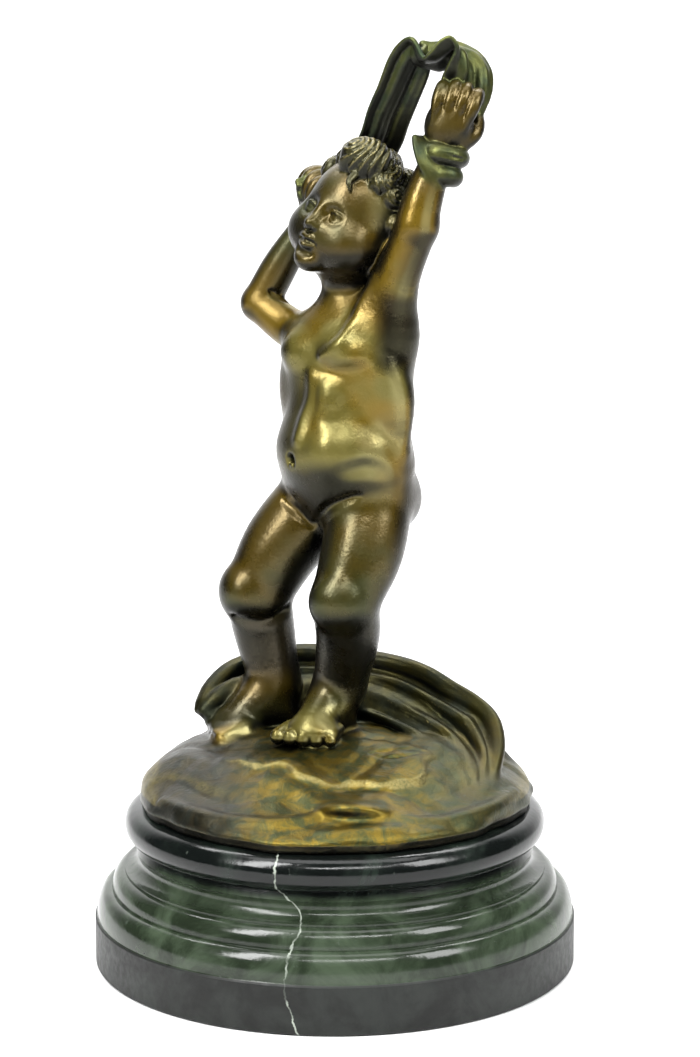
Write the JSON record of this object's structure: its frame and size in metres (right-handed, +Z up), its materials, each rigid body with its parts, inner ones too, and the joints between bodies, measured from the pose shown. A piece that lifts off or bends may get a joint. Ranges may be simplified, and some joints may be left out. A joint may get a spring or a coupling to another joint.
{
  "type": "statuette",
  "caption": "Classical bronze cherub statuette holding a veil over its head, on a rocky mound and a round turned marble socle",
  "frame": {"origin": "centre of the marble socle's underside", "axes": "+Z up through the socle's turned axis; +Y away from the side that shows the cherub's left flank, +X to that viewer's right"},
  "size_m": [0.152, 0.152, 0.2868],
  "materials": {
    "bronze": "aged golden-brown and green patina, worn bright on high places",
    "marble": "polished dark green, with a thin white vein"
  },
  "bodies": {
    "root": {"bronze_cherub": "bronze", "marble_socle": "marble"}
  },
  "joints": []
}
